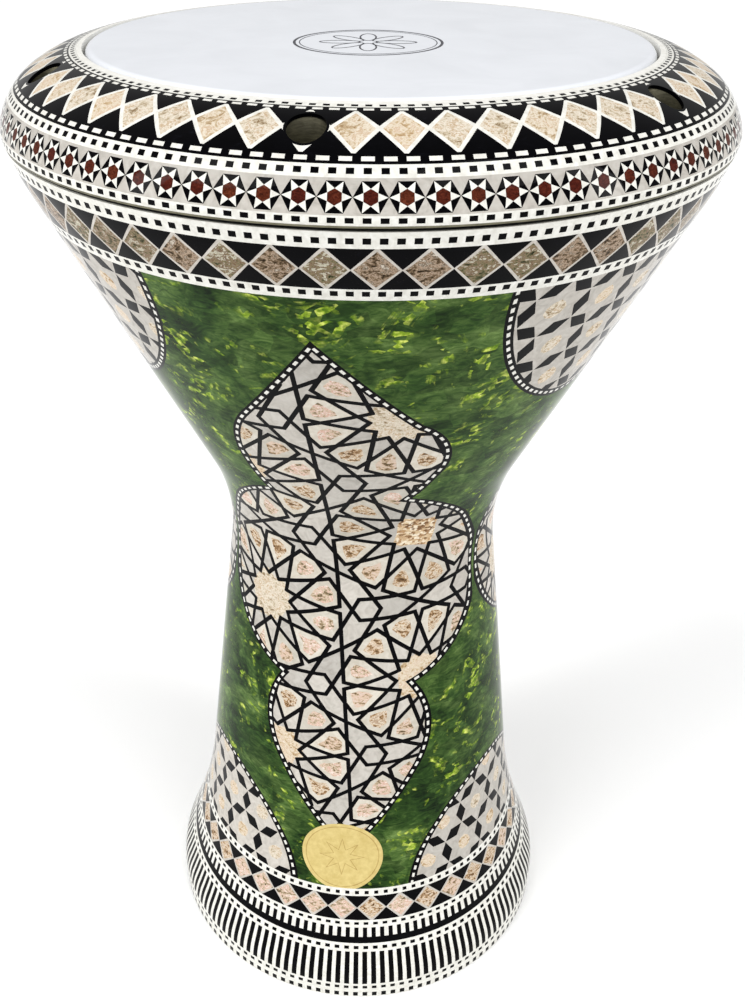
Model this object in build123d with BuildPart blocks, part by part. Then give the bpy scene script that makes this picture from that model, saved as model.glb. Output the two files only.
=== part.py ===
from build123d import *
from math import copysign, cos, hypot, radians, sin, tan
import os

os.makedirs("parts", exist_ok=True)

# Goblet drum (darbuka) with a cast shell, inlaid skin and a bolted tuning ring.
# Millimetres, +Z up, origin on the floor at the centre of the foot.

# Heights of the head assembly
SHELF_TOP = 414.2
SHELF_UNDER = 404.2
SEAM_TOP = 415.5
FILM_TOP = 444.0
FILM_THICK = 0.25

# Walls and inlaid skin
SKIN = 1.2
WALL = 6.2
BORDER = 3.1

# Body outline, from the floor up the outside: (length, left turn in degrees)
BODY_START = (99.9, 0.0)
BODY_HEADING = 90.0
BODY_STEPS = [
    (8.0, 0.0),
    (12.44, 23.0),
    (74.5, -16.3),
    (133.8, 0.0),
    (52.5, -33.1),
    (137.4, 0.0),
    (18.9, 12.0),
]

# Tuning ring outline, from the seam up over the shoulder to the inner lip
RING_START = (139.28, SEAM_TOP)
RING_HEADING = 72.7
RING_STEPS = [
    (5.03, 32.9),
    (19.71, 41.0),
    (22.33, 26.3),
]

# Inlay strips of the foot, from the floor up: name and slant width
FOOT_GAP = 0.5
FOOT_STRIPS = [
    ("foot_check_strip_edge", 4.95),
    ("foot_check_strip_lower", 4.65),
    ("bar_band", 19.75),
    ("foot_check_strip_middle", 4.3),
    ("black_line_strip", 3.6),
    ("comb_fringe_strip", 5.75),
    ("foot_check_strip_upper", 3.8),
    ("foot_diamond_band", 14.0),
    ("body_check_strip_lower", 4.3),
]
FIELD_LENGTH = 342.3
SHOULDER_STRIPS = [
    ("body_check_strip_upper", 4.9),
    ("body_diamond_band", 16.5),
]
TOP_STRIP = "body_check_strip_top"

# Inlay strips of the tuning ring, from the seam up
RING_GAP = 0.72
RING_STRIPS = [
    ("ring_check_strip_lower", 3.05),
    ("ring_star_band", 10.55),
    ("ring_check_strip_shoulder", 4.05),
    ("ring_dash_strip_outer", 3.5),
    ("ring_diamond_band", 18.15),
    ("ring_dash_strip_inner", 2.35),
    ("ring_check_strip_inner", 2.7),
]

# Bolts, M6 socket head, on their circle
BOLT_COUNT = 6
BOLT_CIRCLE_R = 121.9
BOLT_FIRST = -8.5
BOLT_R = 3.0
BOLT_LENGTH = 30.0
BOLT_HEAD_R = 5.0
BOLT_HEAD = 6.0
HEX_FLATS = 5.0
HEX_DEPTH = 3.2
COUNTERBORE_R = 6.0
COUNTERBORE_FLOOR = 426.3
CLEARANCE_R = 3.3
WASHER_R = 5.5
WASHER_HOLE_R = 3.2
WASHER_THICK = 1.6
INSERT_R = 6.0
INSERT_BORE_R = 3.05
INSERT_LENGTH = 16.0
BOSS_R = 9.0
BOSS_UNDER = 390.0
BLIND_FLOOR = 393.0

# Collar, film and flesh hoop
COLLAR_R = 106.0
COLLAR_INNER_R = 99.0
EDGE_ROUND = 2.5
FILM_SKIRT_END = 431.0
BEAD_R = 108.4
BEAD_THICK = 0.8
HOOP_INNER_R = 106.9
HOOP_OUTER_R = 111.9
HOOP_LOW = 426.5
HOOP_HIGH = 436.0
GROOVE_R = 109.2
GROOVE_LOW = 427.4
GROOVE_HIGH = 434.8

# Tuning ring inside
LIP_R = 107.4
POCKET_R = 112.1
WEB_UNDER = 420.0
SKIRT_INNER_R = 134.0

# Ornament panels, three of each around the body
PANEL_COUNT = 3
GIRIH_ANGLE = -7.0
GIRIH_HALF_ANGLE = 59.3
# Outline of a girih panel seen from the front, (across, height): arcs through each three points
# in turn, from the tip down the right side and up the left side
GIRIH_OUTLINE = [
    (-3.5, 371.1), (15.0, 349.8), (33.0, 329.5), (43.0, 315.0), (38.6, 298.0), (34.0, 291.3),
    (28.4, 284.9), (41.4, 277.2), (50.0, 265.0), (55.0, 238.0), (55.0, 210.5), (48.8, 194.5),
    (32.7, 180.5), (40.1, 163.0), (37.3, 134.5), (27.4, 115.5), (4.3, 83.5), (-20.6, 115.5),
    (-31.5, 134.5), (-35.9, 163.0), (-29.3, 180.5), (-46.2, 194.5), (-53.2, 210.5), (-54.8, 238.0),
    (-50.4, 264.5), (-42.6, 277.0), (-30.8, 284.9), (-35.2, 292.0), (-38.2, 299.0), (-40.4, 313.3),
    (-34.2, 330.0), (-19.3, 349.6),
]
UPPER_STAR_ANGLE = 53.0
UPPER_STAR_HALF = (72.5, 96.5)
UPPER_STAR_HEIGHT = 424.0
LOWER_STAR_ANGLE = 58.5
LOWER_STAR_HALF = (59.0, 86.0)
LOWER_STAR_HEIGHT = 30.0
BADGE_ANGLE = -5.5
BADGE_HEIGHT = 81.6
BADGE_R = 20.0


def lay_out(start, heading, steps):
    """Stations of an outline: (x, z, heading, distance, length, turn)."""
    x, z = start
    distance = 0.0
    stations = []
    for length, turn in steps:
        stations.append((x, z, heading, distance, length, turn))
        x, z, heading = advance(x, z, heading, length, turn, length)
        distance += length
    stations.append((x, z, heading, distance, 0.0, 0.0))
    return stations


def advance(x, z, heading, length, turn, run):
    """Point and heading after going run along a step of given length and turn."""
    if turn == 0.0 or run == 0.0:
        a = radians(heading)
        return x + run * cos(a), z + run * sin(a), heading
    radius = length / radians(turn)
    a = radians(heading)
    b = a + run / radius
    return (
        x + radius * (sin(b) - sin(a)),
        z - radius * (cos(b) - cos(a)),
        heading + turn * run / length,
    )


def at(course, distance, depth=0.0):
    """Point at a distance along an outline, moved inwards by depth."""
    x, z, heading = pose(course, distance)
    a = radians(heading)
    return (x - depth * sin(a), z + depth * cos(a))


def pose(course, distance):
    """Point and heading at a distance along an outline."""
    step = [s for s in course[:-1] if s[3] <= distance + 1e-9][-1]
    return advance(*step[:3], step[4], step[5], distance - step[3])


def trace(course, begin, end, depth):
    """Draw the outline between two distances, moved inwards by depth."""
    for step in course[:-1]:
        low = max(begin, step[3])
        high = min(end, step[3] + step[4])
        if high - low < 1e-6:
            continue
        first = at(course, low, depth)
        last = at(course, high, depth)
        if step[5] == 0.0:
            Line(first, last)
        else:
            a = radians(pose(course, low)[2])
            TangentArc(first, last, tangent=(cos(a), sin(a)))


def distance_at_height(course, height, depth):
    """Distance along an outline where its inward copy reaches a height."""
    low, high = 0.0, course[-1][3]
    for _ in range(60):
        middle = (low + high) / 2
        if at(course, middle, depth)[1] < height:
            low = middle
        else:
            high = middle
    return low


def band(course, begin, end, far_end=None):
    """Ring of inlay skin between two distances along an outline."""
    far_end = end if far_end is None else far_end
    with BuildPart() as ring:
        with BuildSketch(Plane.XZ):
            with BuildLine():
                trace(course, begin, end, 0.0)
                trace(course, begin, far_end, SKIN)
                Line(at(course, begin), at(course, begin, SKIN))
                Line(at(course, end), at(course, far_end, SKIN))
            make_face()
        revolve(axis=Axis.Z)
    return ring.part


def facing(angle):
    """Upright plane through the axis, looking out at an angle from -Y."""
    a = radians(angle)
    return Plane(origin=(0, 0, 0), x_dir=(cos(a), sin(a), 0), z_dir=(sin(a), -cos(a), 0))


def bolt_spots():
    """Positions of the bolts on their circle, first one near the front."""
    return PolarLocations(BOLT_CIRCLE_R, BOLT_COUNT, BOLT_FIRST - 90)


def inward(a, b, c):
    """Unit vectors into the panel at three points of an arc of its outline."""
    (ax, az), (bx, bz), (cx, cz) = a, b, c
    twice = 2 * (ax * (bz - cz) + bx * (cz - az) + cx * (az - bz))
    sa, sb, sc = ax * ax + az * az, bx * bx + bz * bz, cx * cx + cz * cz
    ox = (sa * (bz - cz) + sb * (cz - az) + sc * (az - bz)) / twice
    oz = (sa * (cx - bx) + sb * (ax - cx) + sc * (bx - ax)) / twice
    reach = copysign(hypot(ax - ox, az - oz), -twice)
    return [((ox - x) / reach, (oz - z) / reach) for x, z in (a, b, c)]


def girih_points(border):
    """Points of the girih outline, moved into the panel by a border."""
    count = len(GIRIH_OUTLINE)
    arcs = [
        inward(GIRIH_OUTLINE[k], GIRIH_OUTLINE[k + 1], GIRIH_OUTLINE[(k + 2) % count])
        for k in range(0, count, 2)
    ]
    found = []
    for k, (start, middle, _) in enumerate(arcs):
        end = arcs[k - 1][2]
        mitre = border / (1 + start[0] * end[0] + start[1] * end[1])
        x, z = GIRIH_OUTLINE[2 * k]
        found.append((x + mitre * (start[0] + end[0]), z + mitre * (start[1] + end[1])))
        x, z = GIRIH_OUTLINE[2 * k + 1]
        found.append((x + border * middle[0], z + border * middle[1]))
    return found


def girih_tool(border, reach):
    """Radial cutter with the outline of a girih panel, narrowed by a border."""
    inset = border / sin(radians(GIRIH_HALF_ANGLE))
    wide = 160.0 * tan(radians(GIRIH_HALF_ANGLE))
    points = girih_points(border)
    with BuildPart() as tool:
        with BuildSketch(Plane.XZ):
            with BuildLine():
                for k in range(0, len(points), 2):
                    ThreePointArc(points[k], points[k + 1], points[(k + 2) % len(points)])
            make_face()
        extrude(amount=reach)
        with BuildSketch():
            with Locations((0, -inset)):
                Polygon((0, 0), (-wide, -160), (wide, -160), align=None)
        extrude(amount=FILM_TOP, mode=Mode.INTERSECT)
    return tool.part


def oval_tool(half, height, border, reach):
    """Radial cutter with an oval outline centred at a height, narrowed by a border."""
    with BuildPart() as tool:
        with BuildSketch(Plane.XZ):
            with Locations((0, height)):
                Ellipse(half[0] - border, half[1] - border)
        extrude(amount=reach)
    return tool.part


def round_tool(radius, height, reach):
    """Radial cutter with a round outline at a height."""
    with BuildPart() as tool:
        with BuildSketch(Plane.XZ):
            with Locations((0, height)):
                Circle(radius)
        extrude(amount=reach)
    return tool.part


body = lay_out(BODY_START, BODY_HEADING, BODY_STEPS)
rim = lay_out(RING_START, RING_HEADING, RING_STEPS)

# Cast shell: goblet wall, shelf, collar with its bearing edge, and six bosses
shell_top = distance_at_height(body, SHELF_TOP, SKIN)
wall_top = distance_at_height(body, SHELF_UNDER, WALL)
wall_point = at(body, wall_top, WALL)
with BuildPart() as shell_form:
    with BuildSketch(Plane.XZ):
        with BuildLine():
            trace(body, 0.0, shell_top, SKIN)
            Polyline(at(body, shell_top, SKIN), (0, SHELF_TOP), (0, 0), at(body, 0.0, SKIN))
        make_face()
    revolve(axis=Axis.Z)

with BuildPart() as drum_shell:
    with BuildSketch(Plane.XZ):
        with BuildLine():
            trace(body, 0.0, shell_top, SKIN)
            Polyline(at(body, shell_top, SKIN), (COLLAR_R, SHELF_TOP), (COLLAR_R, FILM_TOP - 2.75))
            TangentArc(
                (COLLAR_R, FILM_TOP - 2.75),
                (COLLAR_R - EDGE_ROUND, FILM_TOP - FILM_THICK),
                tangent=(0, 1),
            )
            Polyline(
                (COLLAR_R - EDGE_ROUND, FILM_TOP - FILM_THICK),
                (COLLAR_INNER_R, FILM_TOP - 2.25),
                (COLLAR_INNER_R, SHELF_UNDER),
                wall_point,
            )
            trace(body, 0.0, wall_top, WALL)
            Line(at(body, 0.0, WALL), at(body, 0.0, SKIN))
        make_face()
    revolve(axis=Axis.Z)
    with BuildPart(mode=Mode.ADD):
        with BuildSketch(Plane.XY.offset(BOSS_UNDER)):
            with bolt_spots():
                Circle(BOSS_R)
        extrude(amount=SHELF_UNDER + 4.0 - BOSS_UNDER)
        add(shell_form.part, mode=Mode.INTERSECT)
    with BuildSketch(Plane.XY.offset(SHELF_TOP)):
        with bolt_spots():
            Circle(INSERT_R)
    extrude(amount=-INSERT_LENGTH, mode=Mode.SUBTRACT)
    with BuildSketch(Plane.XY.offset(SHELF_TOP)):
        with bolt_spots():
            Circle(BOLT_R + 0.5)
    extrude(amount=BLIND_FLOOR - SHELF_TOP, mode=Mode.SUBTRACT)
drum_shell.part.label = "drum_shell"
export_step(drum_shell.part, "parts/drum_shell.step")

# Steel threaded inserts in the bosses
with BuildPart() as threaded_inserts:
    with BuildSketch(Plane.XY.offset(SHELF_TOP)):
        with bolt_spots():
            Circle(INSERT_R)
            Circle(INSERT_BORE_R, mode=Mode.SUBTRACT)
    extrude(amount=-INSERT_LENGTH)
threaded_inserts.part.label = "threaded_inserts"
export_step(threaded_inserts.part, "parts/threaded_inserts.step")

# Clear plastic head: flat film, rolled edge, skirt and the bead held by the hoop
with BuildPart() as head_film:
    with BuildSketch(Plane.XZ):
        with BuildLine():
            Line((0, FILM_TOP - FILM_THICK), (COLLAR_R - EDGE_ROUND, FILM_TOP - FILM_THICK))
            TangentArc(
                (COLLAR_R - EDGE_ROUND, FILM_TOP - FILM_THICK),
                (COLLAR_R, FILM_TOP - 2.75),
                tangent=(1, 0),
            )
            Polyline(
                (COLLAR_R, FILM_TOP - 2.75),
                (COLLAR_R, FILM_SKIRT_END),
                (BEAD_R, FILM_SKIRT_END),
                (BEAD_R, FILM_SKIRT_END + BEAD_THICK),
                (COLLAR_R + FILM_THICK, FILM_SKIRT_END + BEAD_THICK),
                (COLLAR_R + FILM_THICK, FILM_TOP - 2.75),
            )
            TangentArc(
                (COLLAR_R + FILM_THICK, FILM_TOP - 2.75),
                (COLLAR_R - EDGE_ROUND, FILM_TOP),
                tangent=(0, 1),
            )
            Polyline((COLLAR_R - EDGE_ROUND, FILM_TOP), (0, FILM_TOP), (0, FILM_TOP - FILM_THICK))
        make_face()
    revolve(axis=Axis.Z)
head_film.part.label = "head_film"
export_step(head_film.part, "parts/head_film.step")

# Aluminium flesh hoop that grips the bead of the head
with BuildPart() as flesh_hoop:
    with BuildSketch(Plane.XZ):
        with BuildLine():
            Polyline(
                (HOOP_INNER_R, HOOP_LOW),
                (HOOP_OUTER_R, HOOP_LOW),
                (HOOP_OUTER_R, HOOP_HIGH),
                (HOOP_INNER_R, HOOP_HIGH),
                (HOOP_INNER_R, GROOVE_HIGH),
                (GROOVE_R, GROOVE_HIGH),
                (GROOVE_R, GROOVE_LOW),
                (HOOP_INNER_R, GROOVE_LOW),
                close=True,
            )
        make_face()
    revolve(axis=Axis.Z)
flesh_hoop.part.label = "flesh_hoop"
export_step(flesh_hoop.part, "parts/flesh_hoop.step")

# Tuning ring: inner lip over the hoop, web with counterbores, outer skirt
ring_inlay_end = RING_GAP + sum(width for _, width in RING_STRIPS)
ring_length = rim[-1][3]
lip_top = at(rim, ring_length)
with BuildPart() as tuning_ring:
    with BuildSketch(Plane.XZ):
        with BuildLine():
            trace(rim, 0.0, RING_GAP, 0.0)
            Line(at(rim, RING_GAP), at(rim, RING_GAP, SKIN))
            trace(rim, RING_GAP, ring_inlay_end, SKIN)
            Line(at(rim, ring_inlay_end, SKIN), at(rim, ring_inlay_end))
            trace(rim, ring_inlay_end, ring_length, 0.0)
            Polyline(
                lip_top,
                (lip_top[0], HOOP_HIGH),
                (POCKET_R, HOOP_HIGH),
                (POCKET_R, WEB_UNDER),
                (SKIRT_INNER_R, WEB_UNDER),
                (SKIRT_INNER_R, SEAM_TOP),
                RING_START,
            )
        make_face()
    revolve(axis=Axis.Z)
    with BuildSketch(Plane.XY.offset(COUNTERBORE_FLOOR)):
        with bolt_spots():
            Circle(COUNTERBORE_R)
    extrude(amount=FILM_TOP - COUNTERBORE_FLOOR, mode=Mode.SUBTRACT)
    with BuildSketch(Plane.XY.offset(COUNTERBORE_FLOOR)):
        with bolt_spots():
            Circle(CLEARANCE_R)
    extrude(amount=WEB_UNDER - COUNTERBORE_FLOOR, mode=Mode.SUBTRACT)
tuning_ring.part.label = "tuning_ring"
export_step(tuning_ring.part, "parts/tuning_ring.step")

# Washers under the bolt heads
with BuildPart() as bolt_washers:
    with BuildSketch(Plane.XY.offset(COUNTERBORE_FLOOR)):
        with bolt_spots():
            Circle(WASHER_R)
            Circle(WASHER_HOLE_R, mode=Mode.SUBTRACT)
    extrude(amount=WASHER_THICK)
bolt_washers.part.label = "bolt_washers"
export_step(bolt_washers.part, "parts/bolt_washers.step")

# Tuning bolts with hexagon sockets
HEAD_SEAT = COUNTERBORE_FLOOR + WASHER_THICK
for number, spot in enumerate(bolt_spots(), start=1):
    with BuildPart() as tuning_bolt:
        with BuildSketch(Plane.XY.offset(HEAD_SEAT)):
            Circle(BOLT_HEAD_R)
        extrude(amount=BOLT_HEAD)
        chamfer(tuning_bolt.edges().sort_by(Axis.Z)[-1], 0.5)
        with BuildSketch(Plane.XY.offset(HEAD_SEAT)):
            Circle(BOLT_R)
        extrude(amount=-BOLT_LENGTH)
        chamfer(tuning_bolt.edges().sort_by(Axis.Z)[0], 0.8)
        with BuildSketch(Plane.XY.offset(HEAD_SEAT + BOLT_HEAD)):
            RegularPolygon(HEX_FLATS / 2, 6, major_radius=False)
        extrude(amount=-HEX_DEPTH, mode=Mode.SUBTRACT)
    placed = tuning_bolt.part.moved(spot)
    placed.label = f"tuning_bolt_{number}"
    export_step(placed, f"parts/tuning_bolt_{number}.step")

# Inlay strips of the tuning ring, cut away around the counterbores
with BuildPart() as bolt_wells:
    with BuildSketch(Plane.XY.offset(COUNTERBORE_FLOOR)):
        with bolt_spots():
            Circle(COUNTERBORE_R)
    extrude(amount=FILM_TOP - COUNTERBORE_FLOOR)

begin = RING_GAP
for name, width in RING_STRIPS:
    with BuildPart() as strip:
        add(band(rim, begin, begin + width))
        if name == "ring_diamond_band":
            add(bolt_wells.part, mode=Mode.SUBTRACT)
    strip.part.label = name
    export_step(strip.part, f"parts/{name}.step")
    begin += width

# Inlay strips of the foot and of the shoulder below the seam
begin = FOOT_GAP
for name, width in FOOT_STRIPS:
    with BuildPart() as strip:
        add(band(body, begin, begin + width))
    strip.part.label = name
    export_step(strip.part, f"parts/{name}.step")
    begin += width

field_begin = begin
field_end = begin + FIELD_LENGTH
begin = field_end
for name, width in SHOULDER_STRIPS:
    with BuildPart() as strip:
        add(band(body, begin, begin + width))
    strip.part.label = name
    export_step(strip.part, f"parts/{name}.step")
    begin += width

with BuildPart() as top_strip:
    add(band(body, begin, distance_at_height(body, SHELF_TOP, 0.0), shell_top))
top_strip.part.label = TOP_STRIP
export_step(top_strip.part, f"parts/{TOP_STRIP}.step")

# Large field of the body skin, divided into panels, their borders and the ground
REACH = 160.0
field = band(body, field_begin, field_end)
girih_outer = girih_tool(0.0, REACH)
girih_inner = girih_tool(BORDER, REACH)
upper_outer = oval_tool(UPPER_STAR_HALF, UPPER_STAR_HEIGHT, 0.0, REACH)
upper_inner = oval_tool(UPPER_STAR_HALF, UPPER_STAR_HEIGHT, BORDER, REACH)
lower_outer = oval_tool(LOWER_STAR_HALF, LOWER_STAR_HEIGHT, 0.0, REACH)
lower_inner = oval_tool(LOWER_STAR_HALF, LOWER_STAR_HEIGHT, BORDER, REACH)
badge_tool = round_tool(BADGE_R, BADGE_HEIGHT, REACH).moved(Rotation(0, 0, BADGE_ANGLE))
GROUPS = [
    ("girih_panel", "girih_borders", GIRIH_ANGLE, girih_outer, girih_inner),
    ("upper_star_panel", "upper_star_borders", UPPER_STAR_ANGLE, upper_outer, upper_inner),
    ("lower_star_panel", "lower_star_borders", LOWER_STAR_ANGLE, lower_outer, lower_inner),
]

for panel_name, border_name, first_angle, outer, inner in GROUPS:
    borders = []
    for number in range(PANEL_COUNT):
        turn = Rotation(0, 0, first_angle + number * 360 / PANEL_COUNT)
        with BuildPart() as panel:
            add(field)
            add(inner.moved(turn), mode=Mode.INTERSECT)
            add(badge_tool, mode=Mode.SUBTRACT)
        panel.part.label = f"{panel_name}_{number + 1}"
        export_step(panel.part, f"parts/{panel_name}_{number + 1}.step")
        with BuildPart() as frame:
            add(field)
            add(outer.moved(turn), mode=Mode.INTERSECT)
            add(inner.moved(turn), mode=Mode.SUBTRACT)
            add(badge_tool, mode=Mode.SUBTRACT)
        borders.append(frame.part)
    with BuildPart() as frames:
        for piece in borders:
            add(piece)
    frames.part.label = border_name
    export_step(frames.part, f"parts/{border_name}.step")

with BuildPart() as round_badge:
    add(field)
    add(badge_tool, mode=Mode.INTERSECT)
round_badge.part.label = "round_badge"
export_step(round_badge.part, "parts/round_badge.step")

with BuildPart() as green_field:
    add(field)
    for _, _, first_angle, outer, _ in GROUPS:
        for number in range(PANEL_COUNT):
            turn = Rotation(0, 0, first_angle + number * 360 / PANEL_COUNT)
            add(outer.moved(turn), mode=Mode.SUBTRACT)
    add(badge_tool, mode=Mode.SUBTRACT)
green_field.part.label = "green_field"
export_step(green_field.part, "parts/green_field.step")
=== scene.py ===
import bpy
import numpy as np
from math import asin, ceil, copysign, cos, hypot, pi, radians, sin
from mathutils import Matrix, Vector
from mathutils.geometry import delaunay_2d_cdt


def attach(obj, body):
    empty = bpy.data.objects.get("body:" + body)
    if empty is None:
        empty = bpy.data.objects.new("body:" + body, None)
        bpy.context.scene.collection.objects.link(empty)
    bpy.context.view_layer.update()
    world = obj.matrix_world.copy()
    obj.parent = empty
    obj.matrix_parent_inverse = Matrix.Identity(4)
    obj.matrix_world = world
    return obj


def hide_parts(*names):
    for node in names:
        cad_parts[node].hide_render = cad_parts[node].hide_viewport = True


# Looks of the goblet drum: the inlaid skin as real tiles, and a material for every piece.
# Distances along the skin are in millimetres, as in the CAD source; meshes are in metres.

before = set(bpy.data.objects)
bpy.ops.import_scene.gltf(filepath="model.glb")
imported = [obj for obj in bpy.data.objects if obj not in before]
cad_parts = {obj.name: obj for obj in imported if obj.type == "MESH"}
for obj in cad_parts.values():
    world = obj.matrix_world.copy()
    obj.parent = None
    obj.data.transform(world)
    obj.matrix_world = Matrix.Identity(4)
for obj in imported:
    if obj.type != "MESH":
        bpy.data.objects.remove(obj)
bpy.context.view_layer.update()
rng = np.random.default_rng(7)

MM = 0.001
# The ring is white inside this radius and above this height. That covers the lacquered lip, and below it
# the bore wall and pocket, where the white is painted light over the shade of the gap beside the film.
LIP_AND_PAINTED_LIGHT_OUTER = 0.1135
LIP_AND_PAINTED_LIGHT_LOW = 0.425
SKIN = 1.15

# Outlines of the body and of the tuning ring: start, heading, then (length, left turn)
BODY_START = (99.9, 0.0)
BODY_HEADING = 90.0
BODY_STEPS = [
    (8.0, 0.0), (12.44, 23.0), (74.5, -16.3), (133.8, 0.0), (52.5, -33.1), (137.4, 0.0), (18.9, 12.0),
]
RING_START = (139.28, 415.5)
RING_HEADING = 72.7
RING_STEPS = [(5.03, 32.9), (19.71, 41.0), (22.33, 26.3)]
SHELF_TOP = 414.2
FIELD = (65.6, 407.9)
TOP_STRIP_END = 435.25

# Bolt wells in the ring
BOLT_COUNT = 6
BOLT_CIRCLE_R = 121.9
BOLT_FIRST = -8.5
WELL_R = 6.0
WELL_RIM = 1.13

# Panels of the body
PANEL_COUNT = 3
BORDER = 3.1
DASH_LONG = 2.35
DASH_WIDE = 1.25
DASH_PITCH = 4.5
GIRIH_ANGLE = -7.0
GIRIH_HALF_ANGLE = 59.3
# Outline of a girih panel seen from the front, (across, height): arcs through each three points
# in turn, from the tip down the right side and up the left side
GIRIH_OUTLINE = [
    (-3.5, 371.1), (15.0, 349.8), (33.0, 329.5), (43.0, 315.0), (38.6, 298.0), (34.0, 291.3),
    (28.4, 284.9), (41.4, 277.2), (50.0, 265.0), (55.0, 238.0), (55.0, 210.5), (48.8, 194.5),
    (32.7, 180.5), (40.1, 163.0), (37.3, 134.5), (27.4, 115.5), (4.3, 83.5), (-20.6, 115.5),
    (-31.5, 134.5), (-35.9, 163.0), (-29.3, 180.5), (-46.2, 194.5), (-53.2, 210.5), (-54.8, 238.0),
    (-50.4, 264.5), (-42.6, 277.0), (-30.8, 284.9), (-35.2, 292.0), (-38.2, 299.0), (-40.4, 313.3),
    (-34.2, 330.0), (-19.3, 349.6),
]
UPPER_STAR_ANGLE = 53.0
UPPER_STAR_HALF = (72.5, 96.5)
UPPER_STAR_HEIGHT = 424.0
LOWER_STAR_ANGLE = 58.5
LOWER_STAR_HALF = (59.0, 86.0)
LOWER_STAR_HEIGHT = 30.0
BADGE_ANGLE = -5.5
BADGE_HEIGHT = 81.6
BADGE_R = 20.0


def lay_out(start, heading, steps):
    """Stations of an outline: (x, z, heading, distance, length, turn)."""
    x, z = start
    distance = 0.0
    stations = []
    for length, turn in steps:
        stations.append((x, z, heading, distance, length, turn))
        a = radians(heading)
        b = radians(heading + turn)
        if turn == 0.0:
            x, z = x + length * cos(a), z + length * sin(a)
        else:
            radius = length / radians(turn)
            x, z = x + radius * (sin(b) - sin(a)), z - radius * (cos(b) - cos(a))
        heading += turn
        distance += length
    return stations


body = lay_out(BODY_START, BODY_HEADING, BODY_STEPS)
rim = lay_out(RING_START, RING_HEADING, RING_STEPS)


def along(course, distance, depth=0.0):
    """Radius, height and outward normal at distances along an outline, moved inwards by depth."""
    distance = np.asarray(distance, float)
    r = np.zeros_like(distance)
    z = np.zeros_like(distance)
    h = np.zeros_like(distance)
    for x0, z0, heading, begin, length, turn in course:
        here = distance >= begin - 1e-6 if begin else np.ones(distance.shape, bool)
        run = distance[here] - begin
        a = radians(heading)
        if turn == 0.0:
            r[here] = x0 + run * cos(a)
            z[here] = z0 + run * sin(a)
            h[here] = a
        else:
            radius = length / radians(turn)
            b = a + run / radius
            r[here] = x0 + radius * (np.sin(b) - sin(a))
            z[here] = z0 - radius * (np.cos(b) - cos(a))
            h[here] = b
    return r - depth * np.sin(h), z + depth * np.cos(h), np.sin(h), -np.cos(h)


TABLE = np.arange(0.0, 450.0, 0.1)
BODY_R, BODY_Z, _, _ = along(body, TABLE)


def height_to_distance(height):
    """Distance along the body outline at a height."""
    return float(np.interp(height, BODY_Z, TABLE))


def body_radius(distance):
    """Radius of the body at distances along its outline."""
    return np.interp(distance, TABLE, BODY_R)


# ---- flat cutting


def inside(points, loop):
    """True for points inside a closed loop."""
    loop = np.asarray(loop, float)
    found = np.zeros(len(points), bool)
    low, high = loop.min(0), loop.max(0)
    near = np.flatnonzero(((points >= low) & (points <= high)).all(1))
    x, y = points[near, 0], points[near, 1]
    odd = np.zeros(len(near), bool)
    for (x0, y0), (x1, y1) in zip(loop, np.roll(loop, -1, 0)):
        if y0 == y1:
            continue
        crosses = (y0 > y) != (y1 > y)
        odd ^= crosses & (x < (x1 - x0) * (y - y0) / (y1 - y0) + x0)
    found[near] = odd
    return found


def used_only(points, triangles):
    """Points that some triangle uses, and the triangles numbered anew."""
    used, triangles = np.unique(triangles, return_inverse=True)
    return points[used], triangles.reshape(-1, 3)


def cut(box, step, ground, tiles):
    """Cut a flat box along the outlines of tiles laid one over another, and along a grid.

    Gives the points, the triangles, and the paint that shows on each triangle.
    A tile is (paint, loop); the paint None takes the skin away.
    """
    u0, v0, u1, v1 = box
    points = []
    edges = []

    def chain(line, closed):
        first = len(points)
        points.extend(Vector((float(u), float(v))) for u, v in line)
        edges.extend((first + k, first + k + 1) for k in range(len(line) - 1))
        if closed:
            edges.append((first + len(line) - 1, first))

    for u in np.linspace(u0, u1, max(1, ceil((u1 - u0) / step[0])) + 1):
        chain([(u, v0), (u, v1)], False)
    for v in np.linspace(v0, v1, max(1, ceil((v1 - v0) / step[1])) + 1):
        chain([(u0, v), (u1, v)], False)
    for _, loop in tiles:
        chain(loop, True)
    made = delaunay_2d_cdt(points, edges, [], 0, 1e-4)
    flat = np.array([tuple(p) for p in made[0]], float)
    triangles = np.array(made[2], int)
    corner = flat[triangles]
    side = corner[:, 1:] - corner[:, :1]
    area = side[:, 0, 0] * side[:, 1, 1] - side[:, 0, 1] * side[:, 1, 0]
    triangles[area < 0] = triangles[area < 0][:, ::-1]
    middle = corner.mean(1)
    keep = (np.abs(area) > 1e-9) & (middle > (u0, v0)).all(1) & (middle < (u1, v1)).all(1)
    triangles, middle = triangles[keep], middle[keep]
    names = [ground] + [paint for paint, _ in tiles]
    shown = np.zeros(len(triangles), int)
    for number, (_, loop) in enumerate(tiles, start=1):
        shown[inside(middle, loop)] = number
    paints = np.array([names[k] or "" for k in shown])
    kept = paints != ""
    triangles, paints = triangles[kept], paints[kept]
    return (*used_only(flat, triangles), paints)


def repeat(points, triangles, paints, pitch, count):
    """Join copies of a cell side by side into a closed band."""
    size = len(points)
    left = np.flatnonzero(points[:, 0] < 1e-3)
    right = np.flatnonzero(points[:, 0] > pitch - 1e-3)
    left = left[np.argsort(points[left, 1])]
    right = right[np.argsort(points[right, 1])]
    if len(left) != len(right):
        raise ValueError("a cell's two sides differ")
    index = np.arange(size)[None] + size * np.arange(count)[:, None]
    index[:, right] = np.roll(index[:, left], -1, 0)
    shift = np.zeros((count, 1, 2))
    shift[:, 0, 0] = pitch * np.arange(count)
    every = (points[None] + shift).reshape(-1, 2)
    joined = index[:, triangles].reshape(-1, 3)
    return (*used_only(every, joined), np.tile(paints, count))


# ---- slabs of skin


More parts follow.
